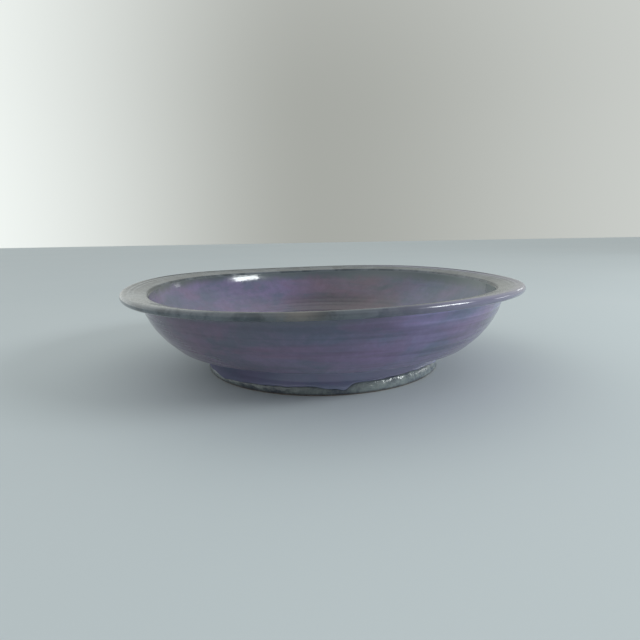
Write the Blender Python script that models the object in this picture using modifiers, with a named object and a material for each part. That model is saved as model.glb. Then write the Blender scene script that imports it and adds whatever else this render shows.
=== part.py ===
"""A wheel-thrown stoneware bowl with a flat flange rim and a foot ring, under coats of glaze.

Metres, +Z up, with the origin at the centre of the foot's underside. The shape is drawn once, as
the glazed surface that a hand would feel. Each coat of glaze is a shell just under that surface,
and the clay lies under the coats.
"""
import math

import bpy
from mathutils import Vector
from mathutils import geometry

MM = 0.001

# Driving dimensions of the finished bowl
RIM_RADIUS = 140.6 * MM
HEIGHT = 60.7 * MM                # mean height of the rim, which is not quite level
LIP_THICKNESS = 4.7 * MM
FLANGE_SLOPE = 10.0               # degrees, rising outwards, on both sides of the flange
WALL_THICKNESS = 5.3 * MM         # measured over both coats of glaze
FLOOR_THICKNESS = 6.8 * MM        # the same, in the middle of the floor
FOOT_RADIUS = 85.2 * MM           # at its widest, just above the table
FOOT_FLARE = 2.3 * MM             # how far its side swells out, past its neck
FOOT_WIDEST = 1.6 * MM            # height of the widest place
FOOT_NECK = 8.4 * MM              # height of the neck, above the swelling
FOOT_WIDTH = 9.8 * MM             # across the clay ring
RECESS_DEPTH = 12.8 * MM          # from the table to the glazed underside of the floor

# The wall is part of an ellipse, and its inside is another with the same centre
WALL_CENTRE = (61.2 * MM, 62.3 * MM)
WALL_REACH = 67.3 * MM
WALL_DROP = 56.1 * MM
WALL_TOP = -13.0                  # degrees on the outer ellipse, where the wall leaves the flange
KNEE_ANGLE = -46.0                # degrees on the outer ellipse, where the wall turns in

# The trimmed underside, as points (r, z): the corner of the knee, then in to the foot's side
KNEE_CORNER = (106.5 * MM, 20.4 * MM)
UNDERSIDE_START = (101.5 * MM, 19.8 * MM)
UNDERSIDE_END = (89.5 * MM, 18.4 * MM)
FOOT_CORNER = (83.2 * MM, 17.9 * MM)
WALL_END = (82.9 * MM, 14.7 * MM)

# The flange's underside, where it turns down into the wall
THROAT_START = 7.0 * MM           # from the lip's middle in to where the turn starts
THROAT_CORNER = 1.0 * MM          # how far the corner of that turn stands out from the wall

# Glaze and clay
GLAZE = 0.8 * MM
GAP = 0.3 * MM
COAT = GLAZE + GAP                # from the glazed surface down to the clay
EDGE_ROUND = 1.7 * MM             # where the inside turns over onto the flange
RIM_COAT_WRAP = 2.4 * MM          # how far the rim's coat runs in under the flange
PAD_CHAMFER = 0.6 * MM            # on the bare pad of the foot
BARE_BAND = 0.7 * MM              # clay left without glaze above the table
RECESS_BAND = 2.1 * MM            # the same, on the inner side of the foot ring
RECESS_CHAMFER = 2.0 * MM         # where the recess's side turns to its ceiling

# The run: the outer coat's thick lower edge, which hangs over the foot
RUN_START = 14.4 * MM             # height where the outer coat becomes the run
RUN_EDGE = 5.6 * MM               # mean height where the run stopped
RUN_PROUD = 0.6 * MM              # how far it stands out from the coat on the foot
ROLL_RADIUS = 0.7 * MM            # of its rounded lower edge
ROLL_START = 60.0                 # degrees round that edge, where the rounding starts

# Each wave of the run's edge round the foot: how many, its height, and its phase in degrees
RUN_WAVES = (
    (2, 1.70 * MM, -110.0),
    (11, 0.15 * MM, 155.0),
)

# Each drip of the run: its angle and half width in degrees, and how far down it went
DRIPS = (
    (-81.6, 2.6, 2.9 * MM),
    (-87.0, 4.5, 2.3 * MM),
    (-140.0, 5.0, 1.0 * MM),
    (-22.0, 6.0, 1.7 * MM),
    (23.0, 7.0, 1.0 * MM),
    (71.0, 9.0, 1.1 * MM),
    (128.0, 8.0, 1.9 * MM),
)

# Each wave of the rim, which moved as it dried: how many, its height, and its phase in degrees
RIM_WAVES = (
    (1, 0.45 * MM, -6.0),
    (2, 0.56 * MM, -86.0),
    (3, 0.77 * MM, 157.0),
    (4, 0.25 * MM, -125.0),
)
WARP_LOW = 26.0 * MM              # the waves fade out down the wall, between these heights
WARP_HIGH = 56.0 * MM

# Segments round the axis, and along the curves of the outline
TURN_STEPS = 56
FOOT_STEPS = 112
INSIDE_STEPS = 8
EDGE_STEPS = 2
LIP_STEPS = 6
THROAT_STEPS = 3
WALL_STEPS = 7
KNEE_STEPS = 2
FILLET_STEPS = 3
FOOT_SIDE_STEPS = 4
FOOT_BACK_STEPS = 2
ROLL_STEPS = 3

MERGE_DISTANCE = 0.01 * MM
SHARP_ANGLE = 35.0                # degrees, above which an edge is shaded sharp

# What follows from the dimensions above
LIP_RADIUS = LIP_THICKNESS / 2
LIP_CENTRE = (RIM_RADIUS - LIP_RADIUS, HEIGHT - LIP_RADIUS)
INNER_REACH = WALL_REACH - WALL_THICKNESS
FLOOR_Z = RECESS_DEPTH + FLOOR_THICKNESS
INNER_DROP = WALL_CENTRE[1] - FLOOR_Z
BODY_BASE_Z = RECESS_DEPTH + COAT
RING_INSIDE = FOOT_RADIUS - COAT - FOOT_WIDTH
SLOPE_RISE = math.tan(math.radians(FLANGE_SLOPE))
FLANGE_NORMAL = 90.0 + FLANGE_SLOPE


def arc(centre, reach, drop, start, end, steps):
    """Points (r, z) on an ellipse from the start angle to the end angle, in degrees."""
    points = []
    for step in range(steps + 1):
        angle = math.radians(start + (end - start) * step / steps)
        points.append((centre[0] + reach * math.cos(angle), centre[1] + drop * math.sin(angle)))
    return points


def bend(start, corner, end, steps):
    """A curve from start to end that leans towards the corner."""
    handles = [Vector((r, z)) for r, z in (start, corner, corner, end)]
    return [tuple(point) for point in geometry.interpolate_bezier(*handles, steps + 1)]


def flange_edge_centre():
    """Centre of the round where the wall turns onto the flange, which slopes up to the lip."""
    radius = WALL_CENTRE[0] + INNER_REACH + EDGE_ROUND
    rise = (LIP_CENTRE[0] - radius) * SLOPE_RISE
    normal = math.radians(FLANGE_SLOPE)
    return radius, LIP_CENTRE[1] - rise + (LIP_RADIUS - EDGE_ROUND) / math.cos(normal)


def underside(radius):
    """A point on the sloping underside of the flange."""
    return radius, HEIGHT - LIP_THICKNESS - (LIP_CENTRE[0] - radius) * SLOPE_RISE


def inner_line():
    """The inside: from the middle of the floor, up the wall, to just under the flange."""
    top = flange_edge_centre()[1] - GAP
    top_angle = math.degrees(math.asin((top - WALL_CENTRE[1]) / INNER_DROP))
    wall = arc(WALL_CENTRE, INNER_REACH, INNER_DROP, -90.0, top_angle, INSIDE_STEPS)
    return [(0.0, FLOOR_Z)] + wall


def rim_line():
    """The rim: over the flange, round the lip and back to the flange's underside."""
    edge = arc(flange_edge_centre(), EDGE_ROUND, EDGE_ROUND, 180.0, FLANGE_NORMAL, EDGE_STEPS)
    flange_end = arc(LIP_CENTRE, LIP_RADIUS, LIP_RADIUS, FLANGE_NORMAL, 90.0, 1)[0]
    lip = arc(LIP_CENTRE, LIP_RADIUS, LIP_RADIUS, 90.0, -90.0, LIP_STEPS)
    return edge + [flange_end] + lip + [underside(LIP_CENTRE[0] - RIM_COAT_WRAP)]


def outer_line():
    """The outside: from under the lip, down the wall and in under its knee, to the foot's side."""
    under = underside(LIP_CENTRE[0] - RIM_COAT_WRAP - GAP)
    wall = arc(WALL_CENTRE, WALL_REACH, WALL_DROP, WALL_TOP, KNEE_ANGLE, WALL_STEPS)
    throat_corner = underside(wall[0][0] + THROAT_CORNER)
    throat = bend(underside(LIP_CENTRE[0] - THROAT_START), throat_corner, wall[0], THROAT_STEPS)
    knee = bend(wall[-1], KNEE_CORNER, UNDERSIDE_START, KNEE_STEPS)
    fillet = bend(UNDERSIDE_END, FOOT_CORNER, WALL_END, FILLET_STEPS)
    return [under] + throat + wall[1:-1] + knee + fillet


def foot_radius(height):
    """Radius of the glazed side of the foot, which swells between the neck and the table."""
    away = (height - FOOT_WIDEST) / (FOOT_NECK - FOOT_WIDEST)
    return FOOT_RADIUS - FOOT_FLARE * min(away * away, 1.0)


def foot_side(depth, top, bottom, steps):
    """The foot's side at a depth under its glazed surface, from the top height to the bottom."""
    heights = [top + (bottom - top) * step / steps for step in range(steps + 1)]
    return [(foot_radius(height) - depth, height) for height in heights]


def inset(line, depth):
    """The line moved to its right by depth, which is into the clay from the glazed surface."""
    points = [Vector(point) for point in line]
    moved = []
    for index, point in enumerate(points):
        before = (point - points[index - 1]).normalized() if index else None
        after = (points[index + 1] - point).normalized() if index + 1 < len(points) else None
        before, after = before or after, after or before
        along = (before + after).normalized()
        into = Vector((along.y, -along.x))
        moved.append(tuple(point + into * depth / along.dot(after)))
    return moved


def make_material(name, colour, roughness):
    material = bpy.data.materials.new(name)
    material.use_nodes = True
    shader = material.node_tree.nodes["Principled BSDF"]
    shader.inputs["Base Color"].default_value = (*colour, 1.0)
    shader.inputs["Roughness"].default_value = roughness
    shader.inputs["Metallic"].default_value = 0.0
    return material


def finish(obj, material):
    obj.data.materials.append(material)
    obj.data.shade_smooth()
    obj.data.set_sharp_from_angle(angle=math.radians(SHARP_ANGLE))
    return obj


def turn(name, line, parent, collection, steps=TURN_STEPS, closed=False):
    """An object whose outline (r, z) is turned round the Z axis."""
    count = len(line)
    edges = [(index, index + 1) for index in range(count - 1)]
    if closed:
        edges.append((count - 1, 0))
    mesh = bpy.data.meshes.new(name)
    mesh.from_pydata([(r, 0.0, z) for r, z in line], edges, [])
    obj = bpy.data.objects.new(name, mesh)
    collection.objects.link(obj)
    obj.parent = parent
    screw = obj.modifiers.new("Turn", "SCREW")
    screw.axis = "Z"
    screw.steps = steps
    screw.render_steps = steps
    screw.use_merge_vertices = True
    screw.merge_threshold = MERGE_DISTANCE
    screw.use_normal_calculate = False
    return obj


def applied(obj):
    """Makes the modifiers' result the object's own mesh."""
    graph = bpy.context.evaluated_depsgraph_get()
    mesh = bpy.data.meshes.new_from_object(obj.evaluated_get(graph))
    obj.modifiers.clear()
    obj.data = mesh
    return obj


def glaze_shell(name, line, parent, collection):
    """A coat of glaze: the turned surface, with its thickness on the side of the clay."""
    obj = turn(name, line, parent, collection)
    solid = obj.modifiers.new("Thickness", "SOLIDIFY")
    solid.thickness = GLAZE
    solid.offset = -1.0
    solid.use_even_offset = True
    return applied(obj)


def waves(table, angle):
    """The sum of some waves round the axis, at an angle in degrees."""
    return sum(size * math.cos(math.radians(count * angle - phase)) for count, size, phase in table)


def warp_rim(obj):
    """Lifts or lowers the upper wall and the rim with the waves of the rim."""
    for vertex in obj.data.vertices:
        share = min(max((vertex.co.z - WARP_LOW) / (WARP_HIGH - WARP_LOW), 0.0), 1.0)
        angle = math.degrees(math.atan2(vertex.co.y, vertex.co.x))
        vertex.co.z += share * share * (3.0 - 2.0 * share) * waves(RIM_WAVES, angle)
    return obj


def run_edge(angle):
    """Height of the lower edge of the glaze runs, at an angle in degrees round the foot."""
    height = RUN_EDGE + waves(RUN_WAVES, angle)
    for middle, half_width, depth in DRIPS:
        away = (angle - middle + 180.0) % 360.0 - 180.0
        height -= depth * math.exp(-((away / half_width) ** 2))
    return height


def follow_edge(obj, fixed_z, edge_z):
    """Slides the points of a turned band so that the height edge_z follows the edge of the runs.

    Points at fixed_z stay, those between move in proportion, and all of them follow the foot's side.
    """
    for vertex in obj.data.vertices:
        angle = math.degrees(math.atan2(vertex.co.y, vertex.co.x))
        share = (vertex.co.z - fixed_z) / (edge_z - fixed_z)
        height = vertex.co.z + share * (run_edge(angle) - RUN_EDGE)
        radius = math.hypot(vertex.co.x, vertex.co.y)
        grown = (radius + foot_radius(height) - foot_radius(vertex.co.z)) / radius
        vertex.co = (vertex.co.x * grown, vertex.co.y * grown, height)


def make_clay_body(parent, collection):
    """Floor, wall and flange in one closed outline, from the floor's middle to its underside."""
    glazed = inner_line() + rim_line()[1:-1] + outer_line()[1:]
    clay = inset(glazed, COAT)
    clay[0] = (0.0, clay[0][1])
    seat = BODY_BASE_Z + GAP
    base = [(foot_radius(seat) - COAT, seat), (0.0, seat)]
    return applied(turn("clay_body", clay + base, parent, collection))


def make_foot_ring(parent, collection):
    """The ring under the body, with a bare pad that has softened edges."""
    side = foot_side(COAT, BODY_BASE_Z, PAD_CHAMFER, FOOT_SIDE_STEPS)
    pad_edge = side[-1][0] - PAD_CHAMFER
    inner_side = [(RING_INSIDE + PAD_CHAMFER, 0.0), (RING_INSIDE, PAD_CHAMFER), (RING_INSIDE, BODY_BASE_Z)]
    line = side + [(pad_edge, 0.0)] + inner_side
    return applied(turn("foot_ring", line, parent, collection, closed=True))


def make_recess_glaze(parent, collection):
    """The coat on the underside of the floor and down the inner side of the foot ring."""
    side = RING_INSIDE - COAT
    line = [
        (side, RECESS_BAND),
        (side, RECESS_DEPTH - RECESS_CHAMFER),
        (side - RECESS_CHAMFER, RECESS_DEPTH),
        (0.0, RECESS_DEPTH),
    ]
    return glaze_shell("recess_glaze", line, parent, collection)


def make_foot_glaze(parent, collection):
    """The thin coat on the foot's side, from the bare clay up to the runs."""
    top = RUN_EDGE - GAP
    front = foot_side(0.0, top, BARE_BAND, FOOT_SIDE_STEPS)
    line = front + foot_side(GLAZE, BARE_BAND, top, FOOT_BACK_STEPS)
    obj = applied(turn("foot_glaze", line, parent, collection, FOOT_STEPS, closed=True))
    follow_edge(obj, BARE_BAND, top)
    return obj


def make_glaze_runs(parent, collection):
    """The outer coat where it ran over the foot, with a rolled lower edge."""
    surface = foot_radius(RUN_EDGE)
    roll_centre = (surface, RUN_EDGE + ROLL_RADIUS)
    roll = arc(roll_centre, RUN_PROUD, ROLL_RADIUS, ROLL_START, -90.0, ROLL_STEPS)
    start = [(WALL_END[0] - GLAZE, RUN_START), (WALL_END[0], RUN_START)]
    line = start + roll + [(surface - GLAZE, RUN_EDGE)]
    obj = applied(turn("glaze_runs", line, parent, collection, FOOT_STEPS, closed=True))
    follow_edge(obj, RUN_START, RUN_EDGE)
    return obj


def clear_scene():
    for obj in list(bpy.data.objects):
        bpy.data.objects.remove(obj, do_unlink=True)


def make_bowl():
    clear_scene()
    collection = bpy.data.collections.new("stoneware_bowl")
    bpy.context.scene.collection.children.link(collection)
    bowl = bpy.data.objects.new("bowl", None)
    collection.objects.link(bowl)

    clay = make_material("bare_stoneware", (0.22, 0.17, 0.13), 0.85)
    purple = make_material("purple_glaze", (0.11, 0.09, 0.17), 0.14)
    rim_grey = make_material("grey_green_glaze", (0.12, 0.14, 0.15), 0.16)
    olive = make_material("olive_glaze", (0.05, 0.05, 0.045), 0.22)

    finish(warp_rim(make_clay_body(bowl, collection)), clay)
    finish(warp_rim(glaze_shell("liner_glaze", inner_line(), bowl, collection)), purple)
    finish(warp_rim(glaze_shell("rim_glaze", rim_line(), bowl, collection)), rim_grey)
    finish(warp_rim(glaze_shell("outer_glaze", outer_line(), bowl, collection)), purple)
    finish(make_foot_ring(bowl, collection), clay)
    finish(make_recess_glaze(bowl, collection), purple)
    finish(make_foot_glaze(bowl, collection), olive)
    finish(make_glaze_runs(bowl, collection), purple)


make_bowl()
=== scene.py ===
"""The looks of a glazed stoneware bowl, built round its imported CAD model.

The whole glazed surface is one grid of points: rows run along the outline from the middle of the
floor, over the rim and down to the foot, and columns run round the axis. Each piece is a slice of
that grid, with the thickness of its coat behind it.
"""
import math

import bpy
import numpy as np
from mathutils import Matrix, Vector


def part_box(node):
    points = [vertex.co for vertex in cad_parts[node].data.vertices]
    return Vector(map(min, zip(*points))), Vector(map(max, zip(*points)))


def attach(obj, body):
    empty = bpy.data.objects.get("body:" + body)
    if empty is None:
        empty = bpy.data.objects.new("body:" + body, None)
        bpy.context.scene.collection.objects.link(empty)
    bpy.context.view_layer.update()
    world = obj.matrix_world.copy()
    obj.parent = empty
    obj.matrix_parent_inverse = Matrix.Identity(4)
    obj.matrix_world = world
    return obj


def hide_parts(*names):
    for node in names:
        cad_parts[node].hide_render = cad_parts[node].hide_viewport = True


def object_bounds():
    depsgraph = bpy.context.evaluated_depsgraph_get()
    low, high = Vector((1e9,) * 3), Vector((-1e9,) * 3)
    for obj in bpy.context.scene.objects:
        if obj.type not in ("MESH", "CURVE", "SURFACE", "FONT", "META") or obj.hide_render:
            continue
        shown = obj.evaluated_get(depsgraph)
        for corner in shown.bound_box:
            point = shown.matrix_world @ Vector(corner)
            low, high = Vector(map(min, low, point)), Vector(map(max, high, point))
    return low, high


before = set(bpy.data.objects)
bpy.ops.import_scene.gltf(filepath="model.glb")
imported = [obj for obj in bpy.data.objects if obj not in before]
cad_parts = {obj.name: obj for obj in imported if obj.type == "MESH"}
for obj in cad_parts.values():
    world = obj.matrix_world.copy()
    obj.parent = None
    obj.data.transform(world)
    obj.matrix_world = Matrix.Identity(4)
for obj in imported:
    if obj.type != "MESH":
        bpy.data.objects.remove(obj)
CAD_LOW, CAD_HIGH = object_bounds()

MM = 0.001

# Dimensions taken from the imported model
GLAZE = 0.8 * MM
RIM_RADIUS = CAD_HIGH.x
FLOOR_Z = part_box("liner_glaze")[0].z + GLAZE
RECESS_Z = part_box("recess_glaze")[1].z - GLAZE

# Dimensions shared with the CAD model's outline
HEIGHT = 60.7 * MM
LIP_RADIUS = 2.35 * MM
SLOPE = math.radians(10.0)
WALL_CENTRE = (61.2 * MM, 62.3 * MM)
WALL_REACH = 67.3 * MM
WALL_DROP = 56.1 * MM
WALL_THICKNESS = 5.3 * MM
EDGE_ROUND = 1.7 * MM
KNEE_ANGLE = -46.0
KNEE_CORNER = (106.5 * MM, 20.4 * MM)
UNDERSIDE_START = (101.5 * MM, 19.8 * MM)
UNDERSIDE_END = (89.5 * MM, 18.4 * MM)
FOOT_RADIUS = 85.2 * MM
FOOT_FLARE = 2.3 * MM
FOOT_WIDEST = 1.6 * MM
FOOT_NECK = 8.4 * MM
FOOT_CORNER = (83.2 * MM, 17.9 * MM)
WALL_END = (82.9 * MM, 14.7 * MM)
RING_INSIDE = 74.3 * MM

# Each wave of the rim and of the run's edge: how many, its height, and its phase in degrees
RIM_WAVES = (
    (1, 0.45 * MM, -6.0),
    (2, 0.56 * MM, -86.0),
    (3, 0.77 * MM, 157.0),
    (4, 0.25 * MM, -125.0),
)
RUN_EDGE = 5.6 * MM
RUN_WAVES = (
    (2, 1.70 * MM, -110.0),
    (11, 0.15 * MM, 155.0),
    (29, 0.10 * MM, 40.0),
    (53, 0.05 * MM, 0.0),
)

LIP_CENTRE = (RIM_RADIUS - LIP_RADIUS, HEIGHT - LIP_RADIUS)
INNER_REACH = WALL_REACH - WALL_THICKNESS
INNER_DROP = WALL_CENTRE[1] - FLOOR_Z

COLUMNS = 384
FOOT_COLUMNS = 768


# ---------------------------------------------------------------- outline

def ellipse(centre, reach, drop, start, end, count):
    """Points (r, z) on an ellipse from the start angle to the end angle, in degrees."""
    angle = np.radians(np.linspace(start, end, count))
    return np.stack([centre[0] + reach * np.cos(angle), centre[1] + drop * np.sin(angle)], 1)


def bend(start, corner, end, count):
    """A curve from start to end that leans towards the corner."""
    t = np.linspace(0.0, 1.0, count)[:, None]
    start, corner, end = map(np.asarray, (start, corner, end))
    return (1 - t) ** 3 * start + 3 * t * (1 - t) * corner + t ** 3 * end


def straight(start, end, count):
    return np.linspace(start, end, count)


def flange_edge_centre():
    radius = WALL_CENTRE[0] + INNER_REACH + EDGE_ROUND
    rise = (LIP_CENTRE[0] - radius) * math.tan(SLOPE)
    return radius, LIP_CENTRE[1] - rise + (LIP_RADIUS - EDGE_ROUND) / math.cos(SLOPE)


def underside(radius):
    return radius, HEIGHT - 2 * LIP_RADIUS - (LIP_CENTRE[0] - radius) * math.tan(SLOPE)


def foot_radius(height):
    away = (height - FOOT_WIDEST) / (FOOT_NECK - FOOT_WIDEST)
    return FOOT_RADIUS - FOOT_FLARE * np.minimum(away * away, 1.0)


def outline_parts():
    """The glazed outline as named runs of points, each starting where the one before ends."""
    edge_centre = flange_edge_centre()
    top = math.degrees(math.asin((edge_centre[1] - WALL_CENTRE[1]) / INNER_DROP))
    normal = 90.0 + math.degrees(SLOPE)
    edge = ellipse(edge_centre, EDGE_ROUND, EDGE_ROUND, 180.0, normal, 9)
    lip = ellipse(LIP_CENTRE, LIP_RADIUS, LIP_RADIUS, normal, -90.0, 33)
    wall = ellipse(WALL_CENTRE, WALL_REACH, WALL_DROP, -13.0, KNEE_ANGLE, 84)
    throat_start = underside(LIP_CENTRE[0] - 7.0 * MM)
    throat_corner = underside(wall[0][0] + 1.0 * MM)
    under_end = underside(LIP_CENTRE[0] - 2.4 * MM)
    return {
        "floor": straight((0.0, FLOOR_Z), (WALL_CENTRE[0], FLOOR_Z), 62),
        "inside": ellipse(WALL_CENTRE, INNER_REACH, INNER_DROP, -90.0, top, 100),
        "edge": edge,
        "flange": straight(edge[-1], lip[0], 24),
        "lip": lip,
        "under": straight(lip[-1], under_end, 5),
        "under_outer": straight(under_end, throat_start, 7),
        "throat": bend(throat_start, throat_corner, wall[0], 12),
        "wall": wall,
        "knee": bend(wall[-1], KNEE_CORNER, UNDERSIDE_START, 10),
        "underside": straight(UNDERSIDE_START, UNDERSIDE_END, 16),
        "fillet": bend(UNDERSIDE_END, FOOT_CORNER, WALL_END, 14),
    }


def join(parts):
    """All points of the outline in one array, and the first and last row of each named run."""
    rows, spans, count = [], {}, 0
    for name, points in parts.items():
        fresh = points if count == 0 else points[1:]
        spans[name] = (max(count - 1, 0), count + len(fresh) - 1)
        rows.append(fresh)
        count += len(fresh)
    return np.concatenate(rows), spans


def smooth_step(low, high, value):
    t = np.clip((value - low) / (high - low), 0.0, 1.0)
    return t * t * (3.0 - 2.0 * t)


def outline_normals(points):
    """Unit normals of the outline, pointing out of the clay."""
    along = np.gradient(points, axis=0)
    along /= np.linalg.norm(along, axis=1)[:, None]
    return np.stack([-along[:, 1], along[:, 0]], 1)


# ---------------------------------------------------------------- thrown surface

# Each groove round the wall: its height, its half width and its depth
GROOVES = (
    (47.3 * MM, 0.9 * MM, 0.16 * MM),
    (41.0 * MM, 1.3 * MM, 0.07 * MM),
    (32.2 * MM, 1.0 * MM, 0.12 * MM),
    (26.0 * MM, 0.9 * MM, 0.10 * MM),
)
OUTSIDE_PITCH = 5.2 * MM
OUTSIDE_RINGS = 0.06 * MM
INSIDE_PITCH = 6.1 * MM
INSIDE_RINGS = 0.07 * MM
FLANGE_PITCH = 2.9 * MM
FLANGE_RINGS = 0.08 * MM
RECESS_PITCH = 3.4 * MM
RECESS_RINGS = 0.05 * MM
SWIRL_DEPTH = 0.5 * MM
SWIRL_RADIUS = 9.0 * MM


def finger_rings(distance, angle, pitch, height):
    """The spiral left by the potter's fingers, as a height out of the surface."""
    turn = 2 * math.pi * distance / pitch
    wander = 0.5 * np.sin(angle + 1.0) + 0.3 * np.sin(2 * angle + turn / 7)
    strength = 0.65 + 0.35 * np.sin(turn / 4.3 + 2 * angle)
    fine = 0.35 * np.sin(2.3 * turn + 2 * angle + 0.7)
    return height * strength * (np.sin(turn + angle + wander) + fine)


def outside_relief(distance, height, angle):
    fade = smooth_step(20 * MM, 24 * MM, height) * smooth_step(52 * MM, 47 * MM, height)
    relief = finger_rings(distance, angle, OUTSIDE_PITCH, OUTSIDE_RINGS) * fade
    for middle, width, depth in GROOVES:
        line = middle + 0.7 * MM * np.sin(angle + 30 * middle / MM)
        relief = relief - depth * np.exp(-((height - line) / width) ** 2)
    return relief


def inside_relief(distance, radius, height, angle):
    fade = smooth_step(3 * MM, 12 * MM, radius) * smooth_step(54 * MM, 47 * MM, height)
    swirl = SWIRL_DEPTH * np.exp(-(radius / SWIRL_RADIUS) ** 2)
    return finger_rings(distance, angle, INSIDE_PITCH, INSIDE_RINGS) * fade - swirl


def flange_relief(radius, angle):
    """Faint rings on the flange, from the rib that flattened it."""
    fade = smooth_step(130.0 * MM, 131.5 * MM, radius) * smooth_step(138.0 * MM, 136.5 * MM, radius)
    wander = 0.8 * np.sin(angle + 0.4) + 0.4 * np.sin(3 * angle)
    return FLANGE_RINGS * fade * np.sin(2 * math.pi * radius / FLANGE_PITCH + wander)


def waves(table, angle):
    """The sum of some waves round the axis, at angles in radians."""
    return sum(size * np.cos(count * angle - math.radians(phase)) for count, size, phase in table)


def warp(height, angle):
    """How far the rim moved up or down as it dried, fading out down the wall."""
    return waves(RIM_WAVES, angle) * smooth_step(26 * MM, 56 * MM, height)


def surface_grid():
    """The glazed surface down to the foot: rows x columns x (x, y, z)."""
    points, spans = join(outline_parts())
    normals = outline_normals(points)
    steps = np.linalg.norm(np.diff(points, axis=0), axis=1)
    distance = np.concatenate([[0.0], np.cumsum(steps)])[:, None]
    angle = np.linspace(-math.pi, math.pi, COLUMNS, endpoint=False)[None, :]
    radius, height = points[:, :1], points[:, 1:]
    rows = np.arange(len(points))[:, None]
    # The inside and the outside have rings of their own, and what is between them is the rim
    inner = rows <= spans["edge"][0]
    outer = rows >= spans["throat"][0]
    relief = np.where(inner, inside_relief(distance, radius, height, angle), 0.0)
    relief = relief + np.where(outer, outside_relief(distance, height, angle), 0.0)
    relief = relief + np.where(inner | outer, 0.0, flange_relief(radius, angle))
    r = radius + normals[:, :1] * relief
    z = height + normals[:, 1:] * relief
    r[0] = 0.0
    z = z + warp(z, angle)
    return to_points(r, z, angle), spans


def to_points(r, z, angle):
    r, z, angle = np.broadcast_arrays(r, z, angle)
    return np.stack([r * np.cos(angle), r * np.sin(angle), z], -1)


def grid_normals(grid):
    """Unit normals of a grid whose columns close round the axis."""
    along = np.gradient(grid, axis=0)
    around = np.roll(grid, -1, axis=1) - np.roll(grid, 1, axis=1)
    normal = np.cross(around, along)
    length = np.linalg.norm(normal, axis=-1, keepdims=True)
    length[length == 0.0] = 1.0
    normal = -normal / length
    for row in (0, -1):
        if np.allclose(grid[row, :, :2], 0.0):
            normal[row] = (0.0, 0.0, math.copysign(1.0, normal[row - 1 if row else 1, 0, 2]))
    return normal


# ---------------------------------------------------------------- foot

# Each drip: its middle and half width in degrees, and how far it hangs below the edge
DRIPS = (
    (-81.6, 2.6, 2.9 * MM),
    (-87.0, 4.5, 2.3 * MM),
    (-140.0, 5.0, 1.0 * MM),
    (-22.0, 6.0, 1.7 * MM),
    (23.0, 7.0, 1.0 * MM),
    (71.0, 9.0, 1.1 * MM),
    (128.0, 8.0, 1.9 * MM),
)


RUN_ROLL = 0.75 * MM
RUN_PROUD = 0.55 * MM
RUN_PROUD_MORE = 0.2 * MM
COAT_END = 0.9 * MM
COAT_TUCK = 0.4 * MM
COAT_SWELL = 0.10 * MM
COAT_LUMPS = 0.035 * MM
COAT_SINK = 0.12 * MM


def run_edge(angle):
    """Height of the lower edge of the glaze runs, at angles in radians."""
    height = RUN_EDGE + waves(RUN_WAVES, angle)
    for middle, half_width, depth in DRIPS:
        away = (np.degrees(angle) - middle + 180.0) % 360.0 - 180.0
        height = height - depth * np.exp(-((away / half_width) ** 2))
    return height


def foot_grids():
    """The runs and the foot's own coat, which meet along the edge of the runs."""
    angle = np.linspace(-math.pi, math.pi, FOOT_COLUMNS, endpoint=False)[None, :]
    edge = run_edge(angle)
    start = np.full_like(angle, WALL_END[1])
    proud = RUN_PROUD + RUN_PROUD_MORE * smooth_step(7 * MM, 4 * MM, edge)

    # Down the run from the wall's end to the widest part of its rolled edge
    t = np.linspace(0.0, 1.0, 16)[:, None]
    z = start + (edge + RUN_ROLL - start) * t
    r = foot_radius(z) + proud * smooth_step(0.1, 1.0, t)
    # Round the edge and back to the foot's surface
    turn = np.radians(np.linspace(0.0, -90.0, 8)[1:])[:, None]
    z_roll = edge + RUN_ROLL + RUN_ROLL * np.sin(turn)
    r_roll = foot_radius(edge + RUN_ROLL) + proud * np.cos(turn)
    runs = to_points(np.concatenate([r, r_roll]), np.concatenate([z, z_roll]), angle)

    # The foot's coat swells below the runs and rolls under at the bare clay
    s = np.linspace(0.0, 1.0, 26)[:, None]
    z = edge + (COAT_END - edge) * s
    lumps = np.sin(41 * angle + 6 * s) + np.sin(67 * angle - 9 * s + 1.0) + np.sin(13 * angle + 2.0)
    r = foot_radius(z) + (COAT_SWELL + COAT_LUMPS * lumps) * np.sin(np.pi * s)
    r = r - COAT_SINK * (1 - smooth_step(0.0, 0.12, s))
    tuck = np.radians(np.linspace(0.0, -90.0, 6)[1:])[:, None]
    z_tuck = COAT_END + COAT_TUCK * np.sin(tuck)
    r_tuck = foot_radius(COAT_END) - COAT_TUCK + COAT_TUCK * np.cos(tuck)
    foot = to_points(np.concatenate([r, r_tuck + 0 * angle]),
                     np.concatenate([z, z_tuck + 0 * angle]), angle)
    return runs, foot


def recess_grid():
    """The coat under the floor, from the bare clay of the ring's inner side to the middle."""
    side = RING_INSIDE - 1.1 * MM
    corner = 2.6 * MM
    rise = straight((side, 2.1 * MM), (side, RECESS_Z - corner), 6)
    round_ = ellipse((side - corner, RECESS_Z - corner), corner, corner, 0.0, 90.0, 10)
    ceiling = straight((side - corner, RECESS_Z), (0.0, RECESS_Z), 72)
    points = np.concatenate([rise, round_[1:], ceiling[1:]])
    angle = np.linspace(-math.pi, math.pi, COLUMNS, endpoint=False)[None, :]
    radius, height = points[:, :1], points[:, 1:]
    fade = smooth_step(2 * MM, 8 * MM, radius) * smooth_step(72 * MM, 66 * MM, radius)
    turned = finger_rings(radius, angle, RECESS_PITCH, RECESS_RINGS) * fade
    r = radius + 0 * angle
    r[-1] = 0.0
    return to_points(r, height - turned, angle)


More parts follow.
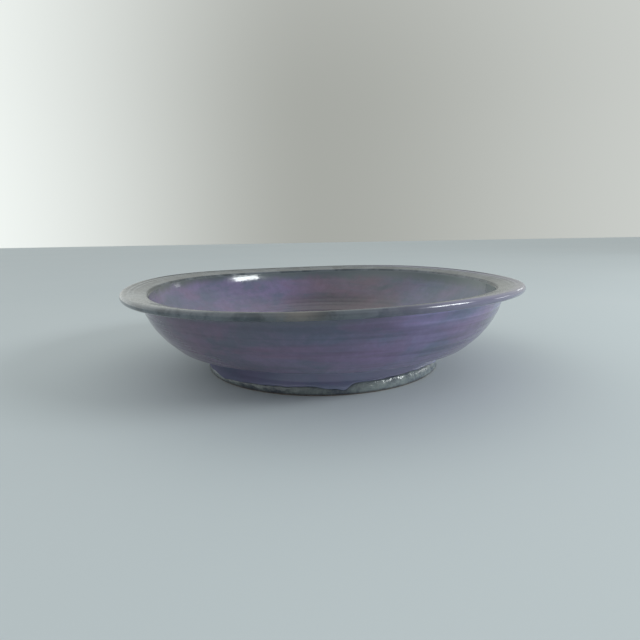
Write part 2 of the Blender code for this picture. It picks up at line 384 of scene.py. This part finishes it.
def ring_grid():
    """The bare clay of the foot ring, as a closed loop of rows."""
    pad = 0.7 * MM
    outside = foot_radius(0.6 * MM) - 0.3 * MM
    step_low, step_high = 1.9 * MM, 2.6 * MM
    seat = RECESS_Z + 0.9 * MM
    inside = RING_INSIDE - 0.35 * MM
    heights = np.linspace(1.2 * MM, seat, 12)
    side = np.stack([foot_radius(heights) - 0.9 * MM, heights], 1)
    points = np.concatenate([
        straight((RING_INSIDE, seat), (RING_INSIDE, step_high), 6),
        straight((RING_INSIDE, step_high), (inside, step_low), 3)[1:],
        straight((inside, step_low), (inside, pad), 4)[1:],
        ellipse((inside + pad, pad), pad, pad, 180.0, 270.0, 8)[1:],
        straight((inside + pad, 0.0), (outside - pad, 0.0), 14)[1:],
        ellipse((outside - pad, pad), pad, pad, -90.0, 0.0, 8)[1:],
        straight((outside, pad), side[0], 3)[1:],
        side[1:],
    ])
    angle = np.linspace(-math.pi, math.pi, COLUMNS, endpoint=False)[None, :]
    radius, height = points[::-1, :1] + 0 * angle, points[::-1, 1:] + 0 * angle
    return to_points(radius, height, angle)


# ---------------------------------------------------------------- meshes

def add_rows(vertices, rows):
    """Adds rows of points, and gives each row's vertex numbers; a row on the axis is one vertex."""
    numbers = []
    for row in rows:
        if np.allclose(row[:, :2], 0.0, atol=1e-9):
            numbers.append(np.full(len(row), len(vertices)))
            vertices.append(row[0])
        else:
            numbers.append(np.arange(len(row)) + len(vertices))
            vertices.extend(row)
    return numbers


def stitch(rows, closed=False):
    """Faces between neighbouring rows of vertex numbers."""
    faces = []
    pairs = list(zip(rows[:-1], rows[1:]))
    if closed:
        pairs.append((rows[-1], rows[0]))
    for above, below in pairs:
        for a, b, c, d in zip(above, np.roll(above, -1), np.roll(below, -1), below):
            corners = list(dict.fromkeys((int(a), int(d), int(c), int(b))))
            if len(corners) > 2:
                faces.append(corners)
    return faces


def make_piece(name, vertices, faces, normals, slot, *nodes):
    mesh = bpy.data.meshes.new(name)
    mesh.from_pydata([tuple(map(float, v)) for v in vertices], [], faces)
    mesh.update()
    mesh.shade_smooth()
    if normals is not None:
        mesh.normals_split_custom_set_from_vertices([tuple(map(float, n)) for n in normals])
    piece = bpy.data.objects.new(name, mesh)
    bpy.context.scene.collection.objects.link(piece)
    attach(piece, "root")
    if nodes:
        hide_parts(*nodes)
    return piece


def coat(name, grid, slot, *nodes, thickness=GLAZE, normals=None, skip=4):
    """A coat of glaze whose outer face is the grid, with a coarser back face behind it."""
    normal = grid_normals(grid) if normals is None else normals
    keep = sorted(set(range(0, len(grid), skip)) | {len(grid) - 1})
    back = (grid - thickness * normal)[keep]
    vertices = []
    front_rows = add_rows(vertices, grid)
    front_normals = []
    for row, row_normals in zip(grid, normal):
        flat = np.allclose(row[:, :2], 0.0, atol=1e-9)
        front_normals.extend(row_normals[:1] if flat else row_normals)
    for row in (0, -1):
        if np.allclose(grid[row, :, :2], 0.0, atol=1e-9):
            back[row][:, :2] = 0.0
    back_rows = add_rows(vertices, back)
    for row, row_normals in zip(back, normal[keep]):
        flat = np.allclose(row[:, :2], 0.0, atol=1e-9)
        front_normals.extend(-(row_normals[:1] if flat else row_normals))
    loop = front_rows + back_rows[::-1]
    closed = len(set(loop[0])) > 1 or len(set(loop[-1])) > 1
    faces = stitch(loop, closed)
    return make_piece(name, vertices, faces, front_normals, slot, *nodes)


THIN_COAT = 0.6 * MM
CORE_GAP = 0.05 * MM
CORE_SEAT = 1.0 * MM
CORE_RADIUS = 82.2 * MM


def make_pieces():
    grid, spans = surface_grid()
    normal = grid_normals(grid)

    def part(first, last):
        rows = slice(spans[first][0], spans[last][1] + 1)
        return grid[rows], normal[rows]

    pieces = {}
    inside, inside_normal = part("floor", "inside")
    pieces["liner"] = coat("inside_coat", inside, "liner_purple_glaze", "liner_glaze",
                           normals=inside_normal)
    rim, rim_normal = part("edge", "under")
    pieces["rim"] = coat("rim_coat", rim, "rim_grey_glaze", "rim_glaze", normals=rim_normal)
    outside, outside_normal = part("under_outer", "fillet")
    pieces["outside"] = coat("outside_coat", outside, "outer_purple_glaze", "outer_glaze",
                             normals=outside_normal)
    runs, foot = foot_grids()
    pieces["runs"] = coat("runs", runs, "run_glaze", "glaze_runs", thickness=THIN_COAT)
    pieces["foot"] = coat("foot_coat", foot, "foot_olive_glaze", "foot_glaze", thickness=THIN_COAT)
    pieces["recess"] = coat("recess_coat", recess_grid(), "recess_glaze", "recess_glaze")

    vertices = []
    rows = add_rows(vertices, ring_grid())
    pieces["ring"] = make_piece("foot_pad", vertices, stitch(rows, closed=True), None,
                                "bare_stoneware", "foot_ring")

    # The clay is a coarser copy of the surface, just under the coats, closed by a flat base
    core = (grid - (GLAZE + CORE_GAP) * normal)[::3, ::2].copy()
    core[0][:, :2] = 0.0
    seat = RECESS_Z + CORE_SEAT
    around = np.linspace(-math.pi, math.pi, COLUMNS, endpoint=False)[None, ::2]
    low = [to_points(np.full((1, 1), CORE_RADIUS), seat, around)[0], to_points(0.0, seat, around)[0]]
    vertices = []
    rows = add_rows(vertices, list(core) + low)
    pieces["core"] = make_piece("clay_core", vertices, stitch(rows), None,
                                "bare_stoneware", "clay_body")
    return pieces


# ---------------------------------------------------------------- materials

def linear(red, green, blue):
    """A colour given in display values of 0 to 255, as the shader wants it."""
    values = []
    for value in (red, green, blue):
        value /= 255.0
        values.append(value / 12.92 if value <= 0.04045 else ((value + 0.055) / 1.055) ** 2.4)
    return (*values, 1.0)


class Tree:
    """Short words for building a material's nodes."""

    def __init__(self, name):
        self.material = bpy.data.materials.new(name)
        self.material.use_nodes = True
        self.nodes = self.material.node_tree.nodes
        self.links = self.material.node_tree.links
        self.shader = self.nodes["Principled BSDF"]

    def put(self, socket, value):
        if hasattr(value, "is_linked"):
            self.links.new(value, socket)
        else:
            socket.default_value = value

    def math(self, operation, first, second=0.0, third=None, clamp=False):
        node = self.nodes.new("ShaderNodeMath")
        node.operation = operation
        node.use_clamp = clamp
        self.put(node.inputs[0], first)
        self.put(node.inputs[1], second)
        if third is not None:
            self.put(node.inputs[2], third)
        return node.outputs[0]

    def step(self, value, low, high, out_low=0.0, out_high=1.0):
        node = self.nodes.new("ShaderNodeMapRange")
        node.interpolation_type = "SMOOTHSTEP"
        for number, amount in enumerate((value, low, high, out_low, out_high)):
            self.put(node.inputs[number], amount)
        return node.outputs[0]

    def mix(self, factor, first, second, blend="MIX"):
        node = self.nodes.new("ShaderNodeMix")
        node.data_type = "RGBA"
        node.blend_type = blend
        self.put(node.inputs[0], factor)
        self.put(node.inputs[6], first)
        self.put(node.inputs[7], second)
        return node.outputs[2]

    def shade(self, colour, amount):
        """The colour made darker or lighter by an amount."""
        return self.mix(1.0, colour, self.vector(amount, amount, amount), "MULTIPLY")

    def noise(self, vector, scale, detail=3.0, roughness=0.55, distortion=0.0):
        node = self.nodes.new("ShaderNodeTexNoise")
        self.put(node.inputs["Vector"], vector)
        node.inputs["Scale"].default_value = scale
        node.inputs["Detail"].default_value = detail
        node.inputs["Roughness"].default_value = roughness
        node.inputs["Distortion"].default_value = distortion
        return node.outputs[0]

    def cells(self, vector, scale):
        node = self.nodes.new("ShaderNodeTexVoronoi")
        self.put(node.inputs["Vector"], vector)
        node.inputs["Scale"].default_value = scale
        return node.outputs["Distance"]

    def vector(self, x, y, z):
        node = self.nodes.new("ShaderNodeCombineXYZ")
        for number, value in enumerate((x, y, z)):
            self.put(node.inputs[number], value)
        return node.outputs[0]

    def place(self):
        """Object coordinates, their x, y and z, and the radius from the axis."""
        where = self.nodes.new("ShaderNodeTexCoord").outputs["Object"]
        split = self.nodes.new("ShaderNodeSeparateXYZ")
        self.put(split.inputs[0], where)
        x, y, z = split.outputs
        squares = self.math("ADD", self.math("MULTIPLY", x, x), self.math("MULTIPLY", y, y))
        return where, x, y, z, self.math("SQRT", squares)

    def lump(self, value, middle, width):
        """A smooth hump: 1 at the middle, and falling away over the width."""
        away = self.math("DIVIDE", self.math("SUBTRACT", value, middle), width)
        return self.math("EXPONENT", self.math("MULTIPLY", self.math("MULTIPLY", away, away), -1.0))

    def bump(self, height, strength, distance, normal=None):
        node = self.nodes.new("ShaderNodeBump")
        node.inputs["Strength"].default_value = strength
        node.inputs["Distance"].default_value = distance
        self.put(node.inputs["Height"], height)
        if normal is not None:
            self.put(node.inputs["Normal"], normal)
        return node.outputs[0]


PURPLE = linear(116, 106, 142)
PLUM = linear(122, 100, 134)
SLATE = linear(94, 100, 126)
RUN_SLATE = linear(94, 101, 120)
GREY_GREEN = linear(93, 101, 109)
DARK_GREEN = linear(54, 64, 73)
LIP_MAUVE_PAINTED_LIGHT = linear(126, 124, 152)
BAND_TEAL = linear(76, 92, 96)
BAND_GREEN = linear(93, 103, 108)
KHAKI = linear(114, 111, 108)
EDGE_BROWN = linear(58, 52, 55)
OLIVE = linear(86, 93, 93)
OLIVE_DARK = linear(54, 60, 67)

CLAY_LIGHT = linear(128, 104, 84)
CLAY_DARK = linear(98, 78, 64)
CLAY_SPECK = linear(48, 38, 32)
PAPER_SHADE = linear(196, 205, 209)
PAPER_LIGHT = linear(203, 210, 213)

# Tints that shift the purple glaze's colour across the bowl; west is -x and east is +x.
# The outside's tints are painted shade in the west and painted light in the east. Inside, the brown
# is a painted reflection, and the teal is partly the glaze's own colour and partly a painted reflection.
OUTSIDE_WEST_PAINTED_SHADE = (0.86, 0.81, 0.73, 1.0)
OUTSIDE_EAST_PAINTED_LIGHT = (1.20, 1.24, 1.26, 1.0)
INSIDE_BROWN_REFLECTION = (0.86, 0.84, 0.62, 1.0)
INSIDE_TEAL_AND_REFLECTION = (0.84, 1.00, 0.92, 1.0)
PLAIN = (1.0, 1.0, 1.0, 1.0)

GLASS_IOR = 1.5
COAT_WEIGHT = 0.5
SPECULAR = 0.5

# How strongly the glaze is darkened or lightened in places, to follow the photograph.
# All of these except the west band's tone are painted shade or painted light.
DEEP_PAINTED_SHADE = 0.52
WEST_BAND_SHADE = 0.72
UNDER_LIP_PAINTED_LIGHT = 1.8
GROOVE_PAINTED_SHADE = 0.24
RUN_PAINTED_LIGHT_WEST, RUN_PAINTED_LIGHT_EAST = 1.05, 1.60
RUN_PAINTED_LIGHT_MORE = 1.25
FOOT_PAINTED_LIGHT_WEST, FOOT_PAINTED_LIGHT_EAST = 1.45, 3.0

# The khaki patch on the front of the lip
PATCH_ANGLE = math.radians(-94.5)
PATCH_WIDTH = math.radians(4.6)

# Radii between which the lip's crest starts
CREST = (0.1358, 0.1372)


def glaze_finish(tree, rough, bump_from, gloss=0.08):
    """Glossy fired glaze over the mixed colour, with the roughness and relief it is given."""
    shader = tree.shader
    tree.put(shader.inputs["Roughness"], rough)
    shader.inputs["IOR"].default_value = GLASS_IOR
    shader.inputs["Coat Weight"].default_value = COAT_WEIGHT
    shader.inputs["Coat Roughness"].default_value = gloss
    shader.inputs["Coat IOR"].default_value = GLASS_IOR
    tree.put(shader.inputs["Normal"], bump_from)
    tree.put(shader.inputs["Coat Normal"], bump_from)
    return tree.material


def variegated(tree, where, x, y, z):
    """The purple glaze and its grain: plum and slate clouds drawn out round the wall, and speckle."""
    drawn = tree.vector(x, y, tree.math("MULTIPLY", z, 2.4))
    clouds = tree.step(tree.noise(drawn, 31.0, 5.0, 0.62, 0.4), 0.36, 0.64)
    blooms = tree.step(tree.noise(drawn, 17.0, 5.0, 0.66, 0.6), 0.44, 0.62)
    grains = tree.noise(where, 420.0, 3.0, 0.7)
    colour = tree.mix(clouds, PURPLE, SLATE)
    colour = tree.mix(tree.math("MULTIPLY", blooms, 0.6), colour, PLUM)
    mottle = tree.step(tree.noise(where, 150.0, 3.0, 0.6), 0.32, 0.68, 0.95, 1.05)
    speckle = tree.math("MULTIPLY", mottle, tree.step(grains, 0.30, 0.75, 0.96, 1.05))
    return tree.shade(colour, speckle), grains


def relief(tree, where, grains, strength=0.25, pitting=0.04):
    """Soft orange-peel of the melted glaze, with a few pinholes."""
    waves = tree.noise(where, 110.0, 1.0, 0.4)
    pits = tree.step(tree.cells(where, 330.0), 0.0, 0.16)
    soft = tree.bump(waves, strength, 0.0006)
    return tree.bump(tree.math("ADD", pits, tree.math("MULTIPLY", grains, 0.3)), pitting, 0.0001, soft)


def inside_material():
    tree = Tree("inside_glaze")
    where, x, y, z = tree.place()[:4]
    colour, grains = variegated(tree, where, x, y, z)
    wander = tree.math("MULTIPLY", tree.noise(where, 14.0, 4.0), 0.09)
    side = tree.math("SUBTRACT", tree.math("ADD", x, wander), 0.045)
    # A painted reflection: a brown tint over the middle of the inside, towards the east
    brown_reflection = tree.math("MULTIPLY", tree.step(side, -0.040, 0.025), tree.step(side, 0.095, 0.055))
    colour = tree.mix(1.0, colour, tree.mix(brown_reflection, PLAIN, INSIDE_BROWN_REFLECTION), "MULTIPLY")
    # Teal at the inside's far east: partly the glaze's own colour, partly a painted reflection
    teal_and_reflection = tree.step(side, 0.055, 0.095)
    colour = tree.mix(1.0, colour, tree.mix(teal_and_reflection, PLAIN, INSIDE_TEAL_AND_REFLECTION), "MULTIPLY")
    # Painted shade: the inside darker low down near the middle
    deep_painted_shade = tree.math("MULTIPLY", tree.step(z, 0.040, 0.029), tree.lump(x, 0.004, 0.050))
    colour = tree.shade(colour, tree.step(deep_painted_shade, 0.0, 1.0, 1.0, DEEP_PAINTED_SHADE))
    drips = tree.noise(tree.vector(x, y, tree.math("MULTIPLY", z, 0.3)), 60.0, 4.0, 0.6)
    edge = tree.math("ADD", z, tree.math("MULTIPLY", drips, 0.010))
    narrow = tree.step(x, -0.040, -0.100, 0.0, 0.0035)
    band = tree.step(tree.math("SUBTRACT", edge, narrow), 0.0515, 0.0600)
    rim_band = tree.mix(tree.step(x, 0.080, 0.115), BAND_GREEN, BAND_TEAL)
    rim_band = tree.shade(rim_band, tree.step(x, -0.110, -0.060, WEST_BAND_SHADE, 1.0))
    colour = tree.mix(band, colour, rim_band)
    tree.put(tree.shader.inputs["Base Color"], colour)
    rough = tree.step(grains, 0.3, 0.7, 0.10, 0.22)
    return glaze_finish(tree, rough, relief(tree, where, grains))


def rim_material():
    tree = Tree("rim_glaze_finish")
    where, x, y, z, radius = tree.place()
    grains = tree.noise(where, 420.0, 3.0, 0.7)
    clouds = tree.step(tree.noise(where, 60.0, 5.0, 0.62), 0.41, 0.58)
    colour = tree.mix(clouds, GREY_GREEN, DARK_GREEN)
    rings = tree.noise(tree.vector(tree.math("MULTIPLY", radius, 9.0), x, y), 42.0, 3.0, 0.6)
    colour = tree.shade(colour, tree.step(rings, 0.36, 0.64, 0.74, 1.12))
    angle = tree.math("ARCTAN2", y, x)
    patch = tree.math("MULTIPLY", tree.lump(angle, PATCH_ANGLE, PATCH_WIDTH),
                      tree.step(tree.noise(where, 120.0, 4.0), 0.30, 0.50))
    colour = tree.mix(patch, colour, KHAKI)
    # The lip's east side takes the purple glaze, in a lighter tone there as painted light
    east = tree.step(x, 0.01, 0.08)
    mauve_and_painted_light = tree.math("MULTIPLY", east, tree.step(radius, 0.130, 0.139))
    colour = tree.mix(mauve_and_painted_light, colour, LIP_MAUVE_PAINTED_LIGHT)
    crest = tree.math("MULTIPLY", tree.step(radius, *CREST), tree.step(z, 0.0575, 0.0590))
    # Brown along the crest, the glaze's own colour at the front, and much darker at the back as painted
    # shade
    crest_brown_and_painted_shade = tree.math("MULTIPLY", crest, tree.step(y, -0.05, 0.05, 0.15, 0.85))
    colour = tree.mix(crest_brown_and_painted_shade, colour, EDGE_BROWN)
    tree.put(tree.shader.inputs["Base Color"], colour)
    rough = tree.step(grains, 0.3, 0.7, 0.12, 0.24)
    soft = relief(tree, where, grains, 0.2)
    material = glaze_finish(tree, rough, tree.bump(rings, 0.35, 0.0005, soft))
    dry = tree.math("MULTIPLY", tree.step(radius, *CREST), tree.step(y, -0.02, 0.05))
    tree.put(tree.shader.inputs["Coat Weight"], tree.step(dry, 0.0, 1.0, COAT_WEIGHT, 0.0))
    tree.put(tree.shader.inputs["Specular IOR Level"], tree.step(dry, 0.0, 1.0, SPECULAR, 0.0))
    return material


def outside_material():
    tree = Tree("outside_glaze")
    where, x, y, z = tree.place()[:4]
    colour = variegated(tree, where, x, y, z)[0]
    # Painted shade in the west and painted light in the east of the outside
    east = tree.step(x, -0.050, 0.050)
    colour = tree.mix(1.0, colour, tree.mix(east, OUTSIDE_WEST_PAINTED_SHADE, OUTSIDE_EAST_PAINTED_LIGHT), "MULTIPLY")
    # Painted shade along the throwing lines, strongest in the east; the same lines also give the bump
    lines = tree.noise(tree.vector(x, y, tree.math("MULTIPLY", z, 26.0)), 13.0, 1.5, 0.5)
    depth = tree.step(x, -0.040, 0.070, 0.35, 1.0)
    groove_painted_shade = tree.math("MULTIPLY", tree.step(lines, 0.52, 0.36), tree.math("MULTIPLY", depth, GROOVE_PAINTED_SHADE))
    colour = tree.shade(colour, tree.math("SUBTRACT", 1.0, groove_painted_shade))
    under = tree.step(z, 0.0500, 0.0535)
    # Painted light just under the lip in the east, where the lip's shadow falls
    under_lip_painted_light = tree.math("MULTIPLY", tree.step(z, 0.0470, 0.0510), tree.step(x, 0.020, 0.055))
    colour = tree.shade(colour, tree.step(under_lip_painted_light, 0.0, 1.0, 1.0, UNDER_LIP_PAINTED_LIGHT))
    grey = tree.math("MULTIPLY", under, tree.step(x, -0.01, 0.05, 0.7, 0.1))
    colour = tree.mix(grey, colour, GREY_GREEN)
    tree.put(tree.shader.inputs["Base Color"], colour)
    rough = tree.step(tree.noise(where, 80.0, 2.0), 0.35, 0.65, 0.18, 0.26)
    soft = tree.bump(tree.noise(where, 70.0, 1.0, 0.4), 0.25, 0.0006)
    return glaze_finish(tree, rough, tree.bump(lines, 0.20, 0.0004, soft), 0.14)


def run_material():
    tree = Tree("run_glaze_finish")
    where, x, y, z = tree.place()[:4]
    colour, grains = variegated(tree, where, x, y, z)
    colour = tree.mix(0.6, colour, RUN_SLATE)
    # Painted light: the runs made lighter, more so towards the east
    colour = tree.shade(colour, tree.step(x, -0.070, 0.000, RUN_PAINTED_LIGHT_WEST, RUN_PAINTED_LIGHT_EAST))
    colour = tree.shade(colour, tree.step(x, -0.010, 0.020, 1.0, RUN_PAINTED_LIGHT_MORE))
    tree.put(tree.shader.inputs["Base Color"], colour)
    uneven = tree.step(tree.noise(where, 80.0, 2.0), 0.35, 0.65, 0.28, 0.38)
    # The west side is duller, so that it doesn't mirror the floor
    rough = tree.math("ADD", uneven, tree.step(x, -0.010, -0.050, 0.0, 0.30))
    material = glaze_finish(tree, rough, relief(tree, where, grains, 0.3), 0.25)
    tree.put(tree.shader.inputs["Coat Weight"], tree.step(x, -0.050, -0.010, 0.0, COAT_WEIGHT))
    tree.put(tree.shader.inputs["Specular IOR Level"], tree.step(x, -0.050, -0.010, 0.12, SPECULAR))
    return material


def foot_material():
    tree = Tree("foot_glaze_finish")
    where, x, _, z = tree.place()[:4]
    grains = tree.noise(where, 380.0, 3.0, 0.7)
    clouds = tree.step(tree.noise(where, 90.0, 4.0, 0.65), 0.38, 0.62)
    colour = tree.mix(clouds, OLIVE, OLIVE_DARK)
    # Painted light: the foot's coat made lighter, more so towards the east
    colour = tree.shade(colour, tree.step(x, -0.020, 0.055, FOOT_PAINTED_LIGHT_WEST, FOOT_PAINTED_LIGHT_EAST))
    # Browner along the foot coat's lowest millimetre or two
    bottom_edge = tree.step(z, 0.0022, 0.0010)
    colour = tree.mix(tree.math("MULTIPLY", bottom_edge, 0.6), colour, EDGE_BROWN)
    tree.put(tree.shader.inputs["Base Color"], colour)
    rough = tree.step(grains, 0.3, 0.7, 0.16, 0.34)
    lumps = tree.bump(tree.noise(where, 280.0, 2.0, 0.5), 0.6, 0.0008)
    return glaze_finish(tree, rough, lumps, 0.12)


def clay_material():
    tree = Tree("bare_clay")
    where = tree.place()[0]
    clouds = tree.noise(where, 55.0, 4.0, 0.6)
    grit = tree.noise(where, 900.0, 3.0, 0.7)
    colour = tree.mix(tree.step(clouds, 0.3, 0.7), CLAY_LIGHT, CLAY_DARK)
    specks = tree.step(tree.cells(where, 700.0), 0.10, 0.22)
    colour = tree.mix(specks, CLAY_SPECK, colour)
    tree.put(tree.shader.inputs["Base Color"], colour)
    tree.put(tree.shader.inputs["Roughness"], tree.step(grit, 0.3, 0.7, 0.72, 0.92))
    tree.put(tree.shader.inputs["Normal"], tree.bump(grit, 0.5, 0.0003))
    return tree.material


# ---------------------------------------------------------------- stage

def make_floor():
    mesh = bpy.data.meshes.new("floor")
    reach = 3.0
    corners = [(-reach, -reach, 0), (reach, -reach, 0), (reach, reach, 0), (-reach, reach, 0)]
    mesh.from_pydata(corners, [], [(0, 1, 2, 3)])
    floor = bpy.data.objects.new("floor", mesh)
    bpy.context.scene.collection.objects.link(floor)
    tree = Tree("paper")
    where = tree.place()[0]
    tone = tree.mix(tree.noise(where, 3.0, 2.0), PAPER_SHADE, PAPER_LIGHT)
    tree.put(tree.shader.inputs["Base Color"], tone)
    tree.shader.inputs["Roughness"].default_value = 0.7
    floor.data.materials.append(tree.material)


# Soft light from all round: a direction, its colour, its strength, and where it fades in
SKY = (
    ((0.0, 1.0, 0.0), (0.97, 1.00, 0.93), 0.40, -0.2, 0.6),
    ((0.0, -1.0, 0.0), (0.93, 0.98, 1.00), 0.24, -0.2, 0.6),
    ((-1.0, 0.0, 0.0), (0.94, 1.00, 1.00), 0.68, 0.0, 0.8),
    ((1.0, 0.0, 0.0), (0.95, 1.00, 1.00), 0.27, 0.0, 0.8),
    ((0.0, 0.0, 1.0), (0.96, 1.00, 1.00), 0.25, 0.2, 0.9),
)


def make_world():
    """A pale surround that is brightest at the west, as the sum of a few broad lobes."""
    world = bpy.data.worlds.new("studio")
    bpy.context.scene.world = world
    world.use_nodes = True
    nodes, links = world.node_tree.nodes, world.node_tree.links
    where = nodes.new("ShaderNodeTexCoord").outputs["Generated"]
    total = None
    for direction, colour, strength, low, high in SKY:
        dot = nodes.new("ShaderNodeVectorMath")
        dot.operation = "DOT_PRODUCT"
        links.new(where, dot.inputs[0])
        dot.inputs[1].default_value = direction
        fade = nodes.new("ShaderNodeMapRange")
        fade.interpolation_type = "SMOOTHSTEP"
        links.new(dot.outputs["Value"], fade.inputs[0])
        fade.inputs[1].default_value = low
        fade.inputs[2].default_value = high
        fade.inputs[4].default_value = strength
        lobe = nodes.new("ShaderNodeVectorMath")
        lobe.operation = "SCALE"
        lobe.inputs[0].default_value = colour
        links.new(fade.outputs[0], lobe.inputs["Scale"])
        if total is None:
            total = lobe.outputs[0]
        else:
            add = nodes.new("ShaderNodeVectorMath")
            add.operation = "ADD"
            links.new(total, add.inputs[0])
            links.new(lobe.outputs[0], add.inputs[1])
            total = add.outputs[0]
    links.new(total, nodes["Background"].inputs["Color"])


# Each panel: azimuth and elevation in degrees, distance, width, height, power and colour
WINDOWS = {
    "window_right": (-20.0, 28.0, 1.45, 0.54, 0.28, 8.2, (0.95, 1.0, 1.0)),
    "window_back": (48.0, 13.0, 1.6, 0.12, 0.15, 0.11, (0.97, 1.0, 1.0)),
    "window_low": (14.0, 8.0, 1.6, 0.36, 0.17, 0.60, (0.97, 1.0, 1.0)),
}


def make_window(name, azimuth, elevation, distance, width, height, power, colour):
    """A soft panel that faces the bowl, placed by its direction from the bowl."""
    light = bpy.data.lights.new(name, "AREA")
    light.shape = "RECTANGLE"
    light.size = width
    light.size_y = height
    light.energy = power
    light.color = colour
    panel = bpy.data.objects.new(name, light)
    bpy.context.scene.collection.objects.link(panel)
    side, up = math.radians(azimuth), math.radians(elevation)
    toward = Matrix.Rotation(side, 4, "Z") @ Matrix.Rotation(-up, 4, "Y")
    aim = Matrix.Rotation(math.radians(90.0), 4, "Y") @ Matrix.Rotation(math.radians(90.0), 4, "Z")
    panel.matrix_world = toward @ Matrix.Translation((distance, 0.0, 0.0)) @ aim
    panel.visible_camera = False


CAMERA_PLACE = (-0.0003, -0.358522, 0.098750)
CAMERA_LENS = 27.056
CAMERA_TURN = math.radians(0.242)
CAMERA_TILT = math.radians(-10.825)
CAMERA_ROLL = math.radians(-1.023)


def make_camera():
    data = bpy.data.cameras.new("camera")
    data.sensor_width = 36.0
    data.lens = CAMERA_LENS
    camera = bpy.data.objects.new("camera", data)
    bpy.context.scene.collection.objects.link(camera)
    turn = Matrix.Rotation(CAMERA_TURN, 4, "Z")
    tilt = Matrix.Rotation(math.radians(90.0) + CAMERA_TILT, 4, "X")
    roll = Matrix.Rotation(CAMERA_ROLL, 4, "Z")
    place = Matrix.Translation(CAMERA_PLACE)
    camera.matrix_world = place @ turn @ tilt @ roll
    bpy.context.scene.camera = camera


def dress(pieces):
    finishes = {
        "liner": inside_material(),
        "rim": rim_material(),
        "outside": outside_material(),
        "runs": run_material(),
        "foot": foot_material(),
    }
    finishes["recess"] = finishes["foot"]
    finishes["ring"] = finishes["core"] = clay_material()
    for name, piece in pieces.items():
        piece.data.materials.append(finishes[name])


bpy.context.scene.view_settings.view_transform = "Standard"
dress(make_pieces())
make_floor()
make_world()
make_camera()
for window, values in WINDOWS.items():
    make_window(window, *values)
